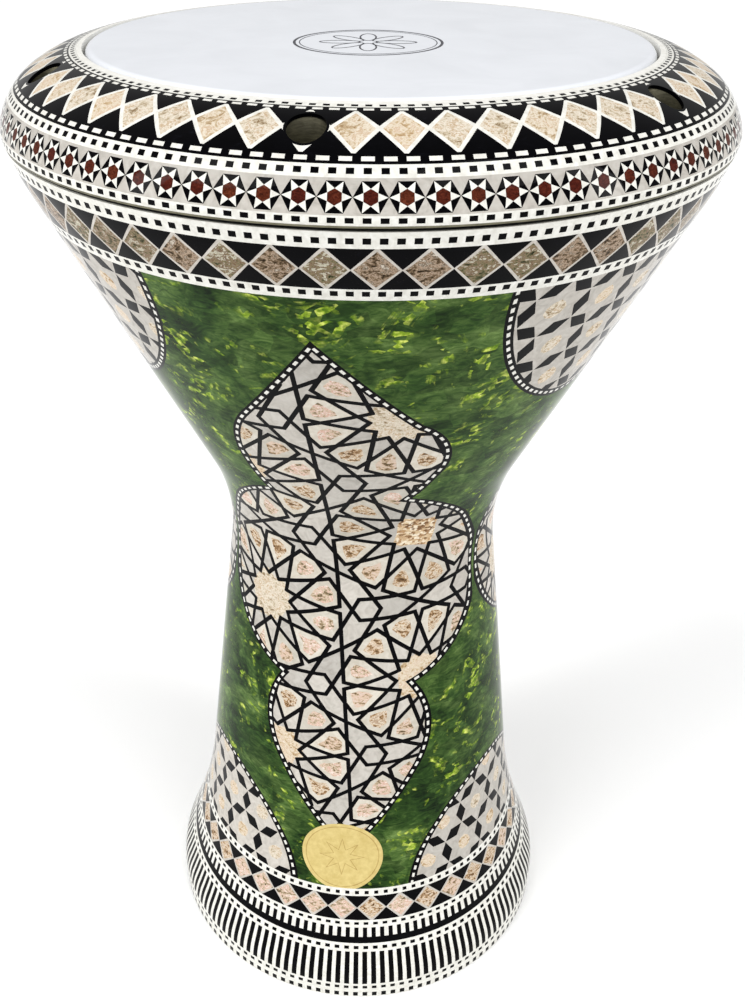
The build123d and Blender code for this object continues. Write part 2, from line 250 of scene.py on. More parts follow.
def link_triangles(triangles, size):
    """Pairs of neighbours, and the open edges with the triangle that each belongs to."""
    heads = triangles.ravel()
    tails = np.roll(triangles, -1, 1).ravel()
    owner = np.repeat(np.arange(len(triangles)), 3)
    key = np.minimum(heads, tails) * size + np.maximum(heads, tails)
    order = np.argsort(key, kind="stable")
    same = key[order][1:] == key[order][:-1]
    first, second = order[:-1][same], order[1:][same]
    alone = np.ones(len(key), bool)
    alone[first] = False
    alone[second] = False
    return owner[first], owner[second], heads[alone], tails[alone], owner[alone]


def number_tiles(triangles, paints, pairs):
    """Give touching triangles of one paint the same number."""
    a, b = pairs
    same = paints[a] == paints[b]
    a, b = a[same], b[same]
    label = np.arange(len(triangles))
    while True:
        low = np.minimum(label[a], label[b])
        new = label.copy()
        np.minimum.at(new, a, low)
        np.minimum.at(new, b, low)
        new = new[new]
        if (new == label).all():
            return label
        label = new


def add_object(name, data):
    """A new object in the scene."""
    obj = bpy.data.objects.new(name, data)
    bpy.context.scene.collection.objects.link(obj)
    return obj


def skin_points(course, angle, distance, depth):
    """Points and outward normals of the skin, in metres."""
    r, z, across, up = along(course, distance, depth)
    if course is body:
        z = np.minimum(z, SHELF_TOP)
    points = np.stack([r * np.sin(angle), -r * np.cos(angle), z], 1) * MM
    normals = np.stack([across * np.sin(angle), -across * np.cos(angle), up + 0 * angle], 1)
    return points, normals


def slab(name, course, angle, distance, triangles, paints):
    """A closed slab of skin: tiles outside, a plain inner face, and walls round its edges."""
    size = len(angle)
    outer, normal = skin_points(course, angle, distance, 0.0)
    inner, _ = skin_points(course, angle, distance, SKIN)
    points = np.concatenate([outer, inner])
    a, b, head, tail, owner = link_triangles(triangles, size)
    label = number_tiles(triangles, paints, (a, b))
    back = triangles[:, ::-1]
    walls = np.stack([head, head + size, tail + size, tail], 1)
    faces = triangles.tolist() + (back + size).tolist() + walls.tolist()
    down = points[walls[:, 1]] - points[walls[:, 0]]
    run = points[walls[:, 3]] - points[walls[:, 0]]
    flat = np.cross(down, run)
    flat /= np.maximum(np.linalg.norm(flat, axis=1, keepdims=True), 1e-12)
    corners = np.concatenate([normal[triangles.ravel()], -normal[back.ravel()], np.repeat(flat, 4, 0)])
    mesh = bpy.data.meshes.new(name)
    mesh.from_pydata(points.tolist(), [], faces)
    kinds = sorted(set(paints))
    for kind in kinds:
        mesh.materials.append(MATERIALS[kind])
    slot = np.searchsorted(kinds, paints)
    mesh.polygons.foreach_set("material_index", np.concatenate([slot, slot, slot[owner]]))
    value = rng.random(len(triangles))[label]
    tile = mesh.attributes.new("tile", "FLOAT", "FACE")
    tile.data.foreach_set("value", np.concatenate([value, value, value[owner]]))
    mesh.polygons.foreach_set("use_smooth", np.ones(len(faces), bool))
    mesh.normals_split_custom_set(corners.tolist())
    mesh.update()
    return add_object(name, mesh)


# ---- materials

MATERIALS = {}
# Depth of the finest relief, in metres
RELIEF = 0.0002
# How far a pattern moves, in metres, from a tile numbered 0 to one numbered 1
TILE_JUMP = (1.7, 3.1, 2.3)


class Paint:
    """A material being made: its nodes and its main shader."""

    def __init__(self, name, **sockets):
        self.material = bpy.data.materials.new(name)
        self.material.use_nodes = True
        self.tree = self.material.node_tree
        self.shader = self.tree.nodes["Principled BSDF"]
        for socket, value in sockets.items():
            self.shader.inputs[socket.replace("_", " ")].default_value = value
        MATERIALS[name] = self.material

    def add(self, kind, inputs=None, **settings):
        """A node, with its settings, values and links."""
        node = self.tree.nodes.new("ShaderNode" + kind)
        for key, value in settings.items():
            setattr(node, key, value)
        for key, value in (inputs or {}).items():
            if isinstance(value, bpy.types.NodeSocket):
                self.tree.links.new(value, node.inputs[key])
            else:
                node.inputs[key].default_value = value
        return node

    def tile(self):
        """Number between 0 and 1 that each tile has for itself."""
        return self.add("Attribute", attribute_name="tile").outputs["Fac"]

    def vector(self, operation, a, b):
        """One sum of vectors."""
        return self.add("VectorMath", {0: a, 1: b}, operation=operation).outputs[0]

    def place(self, stretch=(1, 1, 1), per_tile=False):
        """Position in the drum, stretched, and moved for each tile if asked."""
        where = self.add("TexCoord").outputs["Object"]
        if per_tile:
            where = self.vector("ADD", where, self.vector("MULTIPLY", self.tile(), TILE_JUMP))
        return self.add("Mapping", {"Vector": where, "Scale": stretch}).outputs[0]

    def noise(self, where, scale, detail=3.0, rough=0.55, distort=0.0):
        """Value of a noise texture."""
        return self.add("TexNoise", {
            "Vector": where, "Scale": scale, "Detail": detail, "Roughness": rough, "Distortion": distort,
        }).outputs["Fac"]

    def ramp(self, value, *stops):
        """Colour by value; a stop is (value, colour)."""
        node = self.add("ValToRGB", {"Fac": value})
        bar = node.color_ramp.elements
        while len(bar) < len(stops):
            bar.new(0.5)
        for mark, (at, colour) in zip(bar, stops):
            mark.position = at
            mark.color = (*colour, 1.0)
        return node.outputs["Color"]

    def step(self, value, low, high, to=(0.0, 1.0)):
        """Value mapped from low..high to another range."""
        return self.add("MapRange", {
            "Value": value, "From Min": low, "From Max": high, "To Min": to[0], "To Max": to[1],
        }).outputs[0]

    def mix(self, factor, a, b, blend="MIX"):
        """Blend of two colours."""
        return self.add("Mix", {0: factor, 6: a, 7: b}, data_type="RGBA", blend_type=blend).outputs[2]

    def math(self, operation, a, b=0.0):
        """One sum."""
        return self.add("Math", {0: a, 1: b}, operation=operation).outputs[0]

    def drive(self, name, socket):
        """Lead a value into the main shader."""
        self.tree.links.new(socket, self.shader.inputs[name])

    def colour(self, socket):
        """Lead a colour into the main shader."""
        self.drive("Base Color", socket)

    def bump(self, height, strength):
        """Fine relief."""
        normal = self.add("Bump", {"Height": height, "Strength": strength, "Distance": RELIEF})
        self.drive("Normal", normal.outputs[0])


def rgb(r, g, b):
    """Linear colour from a screen colour of 0 to 255."""
    def line(c):
        c /= 255
        return c / 12.92 if c <= 0.04045 else ((c + 0.055) / 1.055) ** 2.4
    return (line(r), line(g), line(b))


LACQUER = {"Coat_Weight": 1.0, "Coat_Roughness": 0.04, "Coat_IOR": 1.12, "Specular_IOR_Level": 0.0}


def make_bone():
    """White bone of the strips, with faint grain and a warmer tone here and there."""
    p = Paint("bone", Roughness=0.3, **LACQUER)
    where = p.place(per_tile=True)
    grain = p.noise(where, 420.0, 4.0, 0.6, 0.4)
    p.colour(p.ramp(
        grain,
        (0.3, rgb(204, 202, 194)), (0.55, rgb(219, 218, 211)), (0.75, rgb(230, 229, 224)),
    ))
    p.bump(grain, 0.12)


def make_jet():
    """Black acrylic, with faint bluish streaks and polishing marks."""
    p = Paint("jet", Roughness=0.28, **LACQUER)
    where = p.place((1, 1, 3), per_tile=True)
    streak = p.noise(where, 160.0, 5.0, 0.6, 1.2)
    p.colour(p.ramp(streak, (0.3, rgb(2, 2, 3)), (0.62, rgb(4, 4, 6)), (0.85, rgb(18, 20, 26))))
    p.bump(streak, 0.08)


def make_pearl(name, dark, middle, light, tint):
    """Mother of pearl: growth lines, soft clouds and a shimmer of tint in every tile."""
    p = Paint(name, Roughness=0.24, **LACQUER)
    where = p.place(per_tile=True)
    cloud = p.noise(where, 200.0, 4.0, 0.55, 1.6)
    lines = p.noise(p.place((1, 1, 5), per_tile=True), 480.0, 3.0, 0.6, 2.5)
    base = p.ramp(cloud, (0.25, dark), (0.5, middle), (0.75, light))
    shimmer = p.mix(p.step(lines, 0.52, 0.72), base, (*tint, 1.0))
    tone = p.ramp(p.tile(), (0.0, (0.80, 0.80, 0.80)), (1.0, (1.0, 0.99, 0.98)))
    p.colour(p.mix(1.0, shimmer, tone, "MULTIPLY"))
    p.bump(lines, 0.1)


def make_figured(name, stops, others, figure):
    """Strongly marked shell: bent layers in one of two sets of tones, blended from tile to tile."""
    p = Paint(name, Roughness=0.26, **LACQUER)
    where = p.place((1, 1, 2.2), per_tile=True)
    layers = p.noise(where, figure, 4.0, 0.62, 2.0)
    fleck = p.noise(p.place((1, 1, 1.3), per_tile=True), figure * 4.0, 3.0, 0.7, 1.0)
    value = p.math("ADD", p.math("MULTIPLY", layers, 0.62), p.math("MULTIPLY", fleck, 0.62))
    value = p.math("SUBTRACT", value, 0.12)
    kind = p.math("FRACT", p.math("MULTIPLY", p.tile(), 7.0))
    p.colour(p.mix(p.step(kind, 0.35, 0.65), p.ramp(value, *stops), p.ramp(value, *others)))
    p.bump(fleck, 0.12)


def make_speckle():
    """Crushed shell: fine gold, brown and cream grains."""
    p = Paint("speckle", Roughness=0.3, **LACQUER)
    grain = p.add("TexVoronoi", {"Vector": p.place((1, 1, 1.6)), "Scale": 720.0, "Randomness": 1.0})
    pick = p.add("SeparateColor", {0: grain.outputs["Color"]}).outputs[0]
    p.colour(p.ramp(
        pick,
        (0.1, rgb(112, 82, 56)), (0.35, rgb(176, 142, 104)), (0.65, rgb(206, 184, 150)),
        (0.9, rgb(226, 214, 192)),
    ))
    p.bump(pick, 0.1)


def make_green():
    """Green shell laminate: dark clouds, facets, swept streaks and bright flakes in drifts."""
    p = Paint("green", Roughness=0.3, **LACQUER)
    where = p.place()
    cloud = p.noise(where, 26.0, 4.0, 0.62, 1.4)
    sweep = p.noise(p.place((1, 1, 2.6)), 95.0, 6.0, 0.7, 2.4)
    value = p.math("ADD", p.math("MULTIPLY", cloud, 0.6), p.math("MULTIPLY", sweep, 0.4))
    base = p.ramp(
        value,
        (0.36, rgb(14, 30, 12)), (0.46, rgb(37, 61, 24)), (0.54, rgb(62, 86, 40)),
        (0.64, rgb(96, 120, 66)),
    )
    bend = p.add("TexNoise", {"Vector": where, "Scale": 60.0}).outputs["Color"]
    bent = p.vector("ADD", p.place((1, 1, 1.7)), p.vector("MULTIPLY", bend, (0.012, 0.012, 0.012)))
    facet = p.add("TexVoronoi", {"Vector": bent, "Scale": 130.0, "Randomness": 1.0})
    shade = p.add("SeparateColor", {0: facet.outputs["Color"]}).outputs[1]
    tone = p.ramp(shade, (0.0, (0.68, 0.68, 0.68)), (1.0, (1.34, 1.30, 1.26)))
    base = p.mix(1.0, base, tone, "MULTIPLY")
    cell = p.add("TexVoronoi", {"Vector": bent, "Scale": 290.0, "Randomness": 1.0})
    pick = p.add("SeparateColor", {0: cell.outputs["Color"]}).outputs[0]
    drift = p.noise(where, 36.0, 4.0, 0.62, 2.4)
    bright = p.math("MULTIPLY", p.step(pick, 0.5, 0.72), p.step(drift, 0.53, 0.64))
    flake = p.ramp(
        p.noise(where, 420.0, 2.0),
        (0.35, rgb(80, 112, 24)), (0.5, rgb(136, 162, 44)), (0.68, rgb(204, 214, 104)),
    )
    p.colour(p.mix(bright, base, flake))
    p.bump(sweep, 0.1)


def make_metal(name, dark, light, rough, streak, metallic=1.0):
    """Bare metal with fine marks."""
    p = Paint(name, Metallic=metallic)
    where = p.place(streak)
    marks = p.noise(where, 300.0, 5.0, 0.65, 0.3)
    p.colour(p.ramp(marks, (0.3, dark), (0.7, light)))
    p.drive("Roughness", p.step(marks, 0.0, 1.0, rough))
    p.bump(marks, 0.15)


def make_ring_metal():
    """Olive grey cast metal; the edge next to the film is lacquered bone white, and the same white goes
    on down the bore wall into the pocket as painted light over the shade of the gap beside the film.
    """
    p = Paint("cast_ring", Roughness=0.42)
    where = p.place()
    marks = p.noise(p.place((1, 1, 6)), 300.0, 5.0, 0.65, 0.3)
    metal = p.ramp(marks, (0.3, rgb(84, 82, 66)), (0.7, rgb(128, 124, 104)))
    # Bone white of the lacquered lip, also used as painted light on the bore wall and in the pocket
    white = p.ramp(marks, (0.3, rgb(216, 214, 206)), (0.7, rgb(232, 231, 226)))
    part = p.add("SeparateXYZ", {0: where})
    x, y, z = part.outputs
    radius = p.math("SQRT", p.math("ADD", p.math("MULTIPLY", x, x), p.math("MULTIPLY", y, y)))
    # Mask of the white: the lacquered lip, and under it the bore wall and pocket, where the white is
    # painted light filling the shaded gap beside the film
    lip_and_painted_light = p.math("MULTIPLY", p.math("LESS_THAN", radius, LIP_AND_PAINTED_LIGHT_OUTER), p.math("GREATER_THAN", z, LIP_AND_PAINTED_LIGHT_LOW))
    p.colour(p.mix(lip_and_painted_light, metal, white))
    p.drive("Metallic", p.math("MULTIPLY", p.math("SUBTRACT", 1.0, lip_and_painted_light), 0.8))
    p.bump(marks, 0.12)


def make_ink():
    """Dark print on the film, a little uneven."""
    p = Paint("ink", Roughness=0.5)
    cover = p.noise(p.place(), 500.0, 4.0, 0.6)
    p.colour(p.ramp(cover, (0.3, rgb(34, 34, 40)), (0.7, rgb(66, 66, 74))))


def make_materials():
    """Every material of the drum."""
    make_bone()
    make_jet()
    make_pearl("pearl", rgb(166, 162, 154), rgb(188, 184, 176), rgb(202, 199, 192), rgb(194, 184, 177))
    make_pearl("cream", rgb(184, 177, 162), rgb(199, 194, 181), rgb(212, 208, 198), rgb(206, 194, 184))
    browns = (
        (0.36, rgb(70, 52, 36)), (0.43, rgb(126, 96, 66)), (0.49, rgb(176, 146, 110)),
        (0.54, rgb(218, 208, 190)), (0.60, rgb(146, 118, 90)), (0.68, rgb(210, 192, 172)),
    )
    pinks = (
        (0.36, rgb(84, 74, 56)), (0.43, rgb(150, 128, 98)), (0.49, rgb(206, 192, 172)),
        (0.54, rgb(190, 142, 126)), (0.59, rgb(226, 218, 208)), (0.68, rgb(160, 132, 106)),
    )
    make_figured("agate", browns, pinks, 120.0)
    make_figured("shell_gold", (
        (0.34, rgb(140, 110, 74)), (0.43, rgb(184, 160, 126)), (0.51, rgb(212, 202, 184)),
        (0.58, rgb(188, 162, 134)), (0.68, rgb(222, 215, 203)),
    ), (
        (0.34, rgb(122, 100, 72)), (0.44, rgb(184, 170, 146)), (0.52, rgb(214, 206, 192)),
        (0.58, rgb(172, 146, 112)), (0.68, rgb(220, 214, 202)),
    ), 110.0)
    make_figured("shell_brown", (
        (0.34, rgb(30, 24, 18)), (0.42, rgb(72, 58, 42)), (0.48, rgb(118, 98, 76)),
        (0.53, rgb(176, 156, 136)), (0.58, rgb(82, 66, 48)), (0.68, rgb(206, 196, 180)),
    ), (
        (0.34, rgb(38, 36, 24)), (0.42, rgb(84, 84, 58)), (0.48, rgb(138, 122, 96)),
        (0.53, rgb(88, 62, 46)), (0.59, rgb(196, 192, 172)), (0.70, rgb(104, 94, 70)),
    ), 120.0)
    make_speckle()
    make_figured("garnet", (
        (0.3, rgb(38, 14, 10)), (0.5, rgb(66, 24, 17)), (0.7, rgb(96, 42, 30)),
    ), (
        (0.3, rgb(34, 16, 10)), (0.5, rgb(76, 34, 20)), (0.7, rgb(106, 54, 36)),
    ), 300.0)
    make_green()
    make_metal("brass", rgb(190, 167, 98), rgb(211, 192, 127), (0.32, 0.5), (1, 1, 1), 0.35)
    make_metal("brass_cut", rgb(160, 132, 70), rgb(188, 162, 94), (0.4, 0.6), (1, 1, 1), 0.35)
    make_metal("cast_shell", rgb(120, 122, 124), rgb(160, 162, 164), (0.45, 0.65), (1, 1, 1), 0.9)
    make_ring_metal()
    make_metal("aluminium", rgb(170, 172, 174), rgb(214, 215, 216), (0.3, 0.45), (1, 1, 8))
    make_metal("steel", rgb(84, 80, 64), rgb(150, 146, 124), (0.25, 0.45), (6, 1, 1))
    make_film()
    make_ink()


def make_film():
    """Smooth white plastic film with faint clouds."""
    p = Paint("film", Roughness=0.35, Coat_Weight=0.6, Coat_Roughness=0.12)
    where = p.place()
    cloud = p.noise(where, 35.0, 6.0, 0.6, 0.6)
    p.colour(p.ramp(cloud, (0.3, rgb(221, 224, 230)), (0.7, rgb(231, 234, 240))))
    p.bump(p.noise(where, 900.0, 2.0), 0.04)


make_materials()

# ---- strips of the foot, shoulder and ring

# Width of a diamond's lining, measured from corner to corner, in widths of the lining
LINING_AT_TIPS = 1.9
LINING_AT_SIDES = 1.6
# Heart and rays of a star, as shares of the cell and of the hexagon
STAR_HEART = 0.235
STAR_RAY = 0.97
DIAMONDS_PER_BOLT = 9


def block(u0, v0, u1, v1):
    """A rectangular loop."""
    return [(u0, v0), (u1, v0), (u1, v1), (u0, v1)]


def plus(a, b):
    """Sum of two flat points."""
    return (a[0] + b[0], a[1] + b[1])


def circle(count):
    """Angles once round, evenly spaced."""
    return np.linspace(0, 2 * pi, count, endpoint=False)


def bar(a, b, width, overrun=0.0):
    """Loop of a bar from a to b, longer at both ends by a share of half its width."""
    a, b = np.array(a), np.array(b)
    run = (b - a) / np.linalg.norm(b - a) * width / 2
    side = np.array([-run[1], run[0]])
    a, b = a - run * overrun, b + run * overrun
    return [tuple(a - side), tuple(b - side), tuple(b + side), tuple(a + side)]


def trace(loop):
    """Length round a closed loop, and a function for its points at distances along it."""
    closed = np.concatenate([loop, loop[:1]])
    step = np.linalg.norm(np.diff(closed, axis=0), axis=1)
    reach = np.concatenate([[0.0], np.cumsum(step)])
    return reach[-1], lambda at: np.stack([np.interp(at, reach, axis) for axis in closed.T], -1)


def regular(centre, radius, corners, first):
    """A regular loop; first is the angle of one corner, in degrees."""
    turn = [radians(first) + 2 * pi * k / corners for k in range(corners)]
    return [(centre[0] + radius * cos(a), centre[1] + radius * sin(a)) for a in turn]


def check_cell(low, high, share=0.5, ground="bone", paint="jet"):
    """One block in the middle of the cell; with low below 0 it is a tooth."""
    def tiles(pitch, width):
        side = pitch * (1 - share) / 2
        return ground, [(paint, block(side, low, pitch - side, high))]
    return tiles


def plain_cell(pitch, width):
    """Black all over."""
    return "jet", []


def diamond_tiles(left, pitch, width, heart, low, high, tip_half, lining):
    """A diamond with a white lining between black triangles, whose tips lie low and high."""
    right = left + pitch
    middle = left + pitch / 2
    found = []
    for side in (left, right):
        toward = 1 if side == left else -1
        reach = pitch / 2 - tip_half
        found.append(("jet", [(side, low), (side + toward * reach, 0.0), (side, 0.0)]))
        found.append(("jet", [(side, high), (side, width), (side + toward * reach, width)]))
    span = (low + high) / 2
    tips, sides = lining * LINING_AT_TIPS, lining * LINING_AT_SIDES
    diamond = [(middle, tips), (right - sides, span), (middle, width - tips), (left + sides, span)]
    return found + [(heart, diamond)]


def diamond_cell(heart, low, high, tip_half, lining):
    """One diamond on pearl."""
    def tiles(pitch, width):
        return "pearl", diamond_tiles(0.0, pitch, width, heart, low, high, tip_half, lining)
    return tiles


def star_cell(middle_height, radius):
    """A black hexagon with a dark red heart and six white rays."""
    def tiles(pitch, width):
        middle = (pitch / 2, middle_height)
        outer = regular(middle, pitch / 2, 6, 0.0)
        squash = radius / (pitch / 2 * sin(radians(60)))
        outer = [(u, middle_height + (v - middle_height) * squash) for u, v in outer]
        heart = regular(middle, pitch * STAR_HEART, 6, 90.0)
        found = [("jet", outer)]
        for k in range(6):
            a, b = heart[k], heart[(k + 1) % 6]
            tip = outer[(k + 2) % 6]
            ray = ((tip[0] - middle[0]) * STAR_RAY, (tip[1] - middle[1]) * STAR_RAY)
            found.append(("bone", [a, b, plus(middle, ray)]))
        found.append(("garnet", heart))
        return "pearl", found
    return tiles


def strip(name, course, begin, width, count, first, cell, rider, fine=1.6):
    """A closed band of count equal cells around the drum."""
    radius = float(along(course, begin + width / 2)[0])
    pitch = 2 * pi * radius / count
    ground, tiles = cell(pitch, width)
    flat = cut((0.0, 0.0, pitch, width), (max(pitch / 2, 2.4), fine), ground, tiles)
    points, triangles, paints = repeat(*flat, pitch, count)
    angle = radians(first) + (points[:, 0] - pitch / 2) / radius
    obj = slab(name + "_inlay", course, angle, begin + points[:, 1], triangles, paints)
    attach(obj, rider)
    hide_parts(name)


# Each strip, from below: node, width, number of cells, turn of the first, cell, and slot
FOOT_STRIPS = [
    ("foot_check_strip_edge", 4.95, 130, 0.0, check_cell(0.5, 3.5), "strip_inlay"),
    ("foot_check_strip_lower", 4.65, 132, 0.0, check_cell(1.5, 3.6), "strip_inlay"),
    ("bar_band", 19.75, 136, 0.0, check_cell(0.4, 19.3, 0.56), "diamond_inlay"),
    ("foot_check_strip_middle", 4.3, 121, 0.0, check_cell(1.0, 2.8), "strip_inlay"),
    ("black_line_strip", 3.6, 60, 0.0, plain_cell, "black_acrylic"),
    ("comb_fringe_strip", 5.75, 131, 0.0, check_cell(-1.0, 5.3), "diamond_inlay"),
    ("foot_check_strip_upper", 3.8, 117, 0.0, check_cell(1.1, 2.6), "strip_inlay"),
    ("foot_diamond_band", 14.0, 37, -4.8, diamond_cell("agate", 6.9, 7.1, 0.7, 0.55), "diamond_inlay"),
    ("body_check_strip_lower", 4.3, 110, 0.0, check_cell(1.1, 3.0, 0.43), "strip_inlay"),
]
BROWN_DIAMOND = diamond_cell("shell_brown", 8.1, 8.4, 0.6, 0.5)
TOP_STRIP_WIDTH = TOP_STRIP_END - 429.3
SHOULDER_STRIPS = [
    ("body_check_strip_upper", 4.9, 165, 0.0, check_cell(1.8, 4.0), "strip_inlay"),
    ("body_diamond_band", 16.5, 54, 1.3, BROWN_DIAMOND, "diamond_inlay"),
    ("body_check_strip_top", TOP_STRIP_WIDTH, 172, 0.0, check_cell(1.6, 3.75), "strip_inlay"),
]
RING_LOWER_STRIPS = [
    ("ring_check_strip_lower", 3.05, 171, 0.0, check_cell(0.8, 2.45), "strip_inlay"),
    ("ring_star_band", 10.55, 84, 0.4, star_cell(5.1, 4.55), "pearl_inlay"),
    ("ring_check_strip_shoulder", 4.05, 167, 0.0, check_cell(1.1, 3.0, 0.47), "strip_inlay"),
    ("ring_dash_strip_outer", 3.5, 128, 0.0, check_cell(1.0, 2.5, 0.60, "jet", "bone"), "strip_inlay"),
]
RING_UPPER_STRIPS = [
    ("ring_dash_strip_inner", 2.35, 141, 0.0, check_cell(0.5, 1.7, 0.62, "jet", "bone"), "strip_inlay"),
    ("ring_check_strip_inner", 2.7, 166, 0.0, check_cell(0.7, 2.1), "strip_inlay"),
]
RING_DIAMOND_WIDTH = 18.15


def make_strips(course, begin, strips, rider, fine=1.6):
    """Bands one above another; gives where the last one ends."""
    for name, width, count, first, cell, slot in strips:
        strip(name, course, begin, width, count, first, cell, rider, fine)
        begin += width
    return begin


def ring_diamonds(begin):
    """The ring's diamond band, with a bolt well in place of every ninth diamond."""
    width = RING_DIAMOND_WIDTH
    per_bolt = DIAMONDS_PER_BOLT
    radius = float(along(rim, begin + width / 2)[0])
    pitch = 2 * pi * radius / (per_bolt * BOLT_COUNT)
    tiles = []
    for k in range(per_bolt):
        heart = "bone" if k == per_bolt // 2 else "shell_gold"
        tiles += diamond_tiles(k * pitch, pitch, width, heart, 8.6, 10.6, 0.55, 0.62)
    middle = per_bolt * pitch / 2
    stations = begin + np.linspace(-2.0, width + 2.0, 400)
    radii = along(rim, stations)[0]
    well = []
    for a in circle(48):
        x, y = BOLT_CIRCLE_R + WELL_R * cos(a), WELL_R * sin(a)
        distance = np.interp(-hypot(x, y), -radii, stations)
        well.append((middle + radius * np.arctan2(y, x), distance - begin))
    centre = (middle, sum(v for _, v in well) / len(well))
    rim_loop = [plus(centre, ((u - centre[0]) * WELL_RIM, (v - centre[1]) * WELL_RIM)) for u, v in well]
    tiles += [("jet", rim_loop), (None, well)]
    flat = cut((0.0, 0.0, per_bolt * pitch, width), (pitch / 3, 1.8), "bone", tiles)
    points, triangles, paints = repeat(*flat, per_bolt * pitch, BOLT_COUNT)
    angle = radians(BOLT_FIRST) + (points[:, 0] - middle) / radius
    obj = slab("ring_diamond_band_inlay", rim, angle, begin + points[:, 1], triangles, paints)
    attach(obj, "ring")
    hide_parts("ring_diamond_band")
    return begin + width


make_strips(body, 0.5, FOOT_STRIPS, "shell")
make_strips(body, FIELD[1], SHOULDER_STRIPS, "shell")
diamonds_begin = make_strips(rim, 0.72, RING_LOWER_STRIPS, "ring", 1.1)
diamonds_end = ring_diamonds(diamonds_begin)
make_strips(rim, diamonds_end, RING_UPPER_STRIPS, "ring", 1.2)

# ---- outlines of the panels

ARC_POINTS = 20
OVAL_POINTS = 200
CIRCLE_POINTS = 72
BOX_SPARE = 1.0


def circle_through(a, b, c):
    """Centre of the circle through three points, and four times their signed area."""
    (ax, ay), (bx, by), (cx, cy) = a, b, c
    twice = 2 * (ax * (by - cy) + bx * (cy - ay) + cx * (ay - by))
    sa, sb, sc = ax * ax + ay * ay, bx * bx + by * by, cx * cx + cy * cy
    ox = (sa * (by - cy) + sb * (cy - ay) + sc * (ay - by)) / twice
    oy = (sa * (cx - bx) + sb * (ax - cx) + sc * (bx - ax)) / twice
    return ox, oy, twice


def arc_through(a, b, c, count):
    """Points of the arc from a through b to c, without c."""
    (ax, ay), (bx, by), (cx, cy) = a, b, c
    ox, oy, _ = circle_through(a, b, c)
    radius = hypot(ax - ox, ay - oy)
    first = np.arctan2(ay - oy, ax - ox)
    last = np.arctan2(cy - oy, cx - ox)
    way = np.arctan2(by - oy, bx - ox)
    ccw = (way - first) % (2 * pi) < (last - first) % (2 * pi)
    sweep = (last - first) % (2 * pi) if ccw else -((first - last) % (2 * pi))
    turn = first + sweep * np.arange(count) / count
    return [(ox + radius * cos(t), oy + radius * sin(t)) for t in turn]


def develop(points):
    """Points seen from the front, (across, height), laid out on the body: (arc length, distance)."""
    found = []
    for x, z in points:
        s = height_to_distance(z)
        r = float(body_radius(s))
        found.append((r * asin(max(-1.0, min(1.0, x / r))), s))
    return found


def inward(a, b, c):
    """Unit vectors into the panel at three points of an arc of its outline."""
    ox, oz, twice = circle_through(a, b, c)
    reach = copysign(hypot(a[0] - ox, a[1] - oz), -twice)
    return [((ox - x) / reach, (oz - z) / reach) for x, z in (a, b, c)]


def girih_outline(border):
    """Closed outline of a girih panel on the body, narrowed by a border."""
    count = len(GIRIH_OUTLINE)
    arcs = [
        inward(GIRIH_OUTLINE[k], GIRIH_OUTLINE[k + 1], GIRIH_OUTLINE[(k + 2) % count])
        for k in range(0, count, 2)
    ]
    moved = []
    for k, (start, middle, _) in enumerate(arcs):
        end = arcs[k - 1][2]
        mitre = border / (1 + start[0] * end[0] + start[1] * end[1])
        x, z = GIRIH_OUTLINE[2 * k]
        moved.append((x + mitre * (start[0] + end[0]), z + mitre * (start[1] + end[1])))
        x, z = GIRIH_OUTLINE[2 * k + 1]
        moved.append((x + border * middle[0], z + border * middle[1]))
    loop = []
    for k in range(0, count, 2):
        loop += arc_through(moved[k], moved[k + 1], moved[(k + 2) % count], ARC_POINTS)
    found = []
    for u, s in develop(loop):
        r = float(body_radius(s))
        limit = r * (radians(GIRIH_HALF_ANGLE) - asin(border / r))
        found.append((max(-limit, min(u, limit)), s))
    return found


def oval_outline(half, height, border, upper):
    """Outline on the body of the upper or lower half of an oval, narrowed by a border."""
    first = 0.0 if upper else pi
    turn = np.linspace(first, first + pi, OVAL_POINTS)
    wide, tall = half[0] - border, half[1] - border
    return develop([(wide * cos(a), height + tall * sin(a)) for a in turn])


def round_outline(radius, height):
    """Outline on the body of a circle seen from the front."""
    return develop([(radius * cos(a), height + radius * sin(a)) for a in circle(CIRCLE_POINTS)])


def shift_outline(outline, turn):
    """An outline moved around the body by an angle in degrees."""
    return [(u + float(body_radius(s)) * radians(turn), s) for u, s in outline]


def dashes(outer, inner):
    """White dashes along the middle of a border."""
    length, at = trace((np.array(outer) + np.array(inner)) / 2)
    count = round(length / DASH_PITCH)
    found = []
    for k in range(count):
        middle = (k + 0.5) * length / count
        dash = bar(at(middle - DASH_LONG / 2), at(middle + DASH_LONG / 2), DASH_WIDE)
        found.append(("bone", dash))
    return found


def box_of(outline, spare):
    """Box round an outline, kept within the field."""
    points = np.array(outline)
    (u0, v0), (u1, v1) = points.min(0), points.max(0)
    return (u0 - spare, max(v0 - spare, FIELD[0]), u1 + spare, min(v1 + spare, FIELD[1]))


def lay(name, node, turn, outline, holes, ground, tiles, step=(4.0, 5.0)):
    """A panel or border of tiles on the body, in place of a CAD node."""
    box = box_of(outline, BOX_SPARE)
    # The outlines are cut first and lie underneath, so they divide the skin but paint nothing.
    cuts = [(ground, outline)] + [(ground, hole) for hole in holes]
    points, triangles, paints = cut(box, step, ground, cuts + tiles)
    middle = points[triangles].mean(1)
    keep = inside(middle, outline)
    for hole in holes:
        keep &= ~inside(middle, hole)
    points, triangles = used_only(points, triangles[keep])
    angle = radians(turn) + points[:, 0] / body_radius(points[:, 1])
    obj = slab(name, body, angle, points[:, 1], triangles, paints[keep])
    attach(obj, "shell")
    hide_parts(node)


def lay_panel(title, number, turn, outer, inner, holes, pattern):
    """One panel with its dashed border."""
    lay(
        f"{title}_inlay_{number}", f"{title}_panel_{number}", turn,
        inner, holes, "pearl", pattern,
    )
    lay(
        f"{title}_border_inlay_{number}", f"{title}_borders", turn,
        outer, holes + [inner], "jet", dashes(outer, inner),
    )


badge_outline = round_outline(BADGE_R, BADGE_HEIGHT)

# ---- girih panels

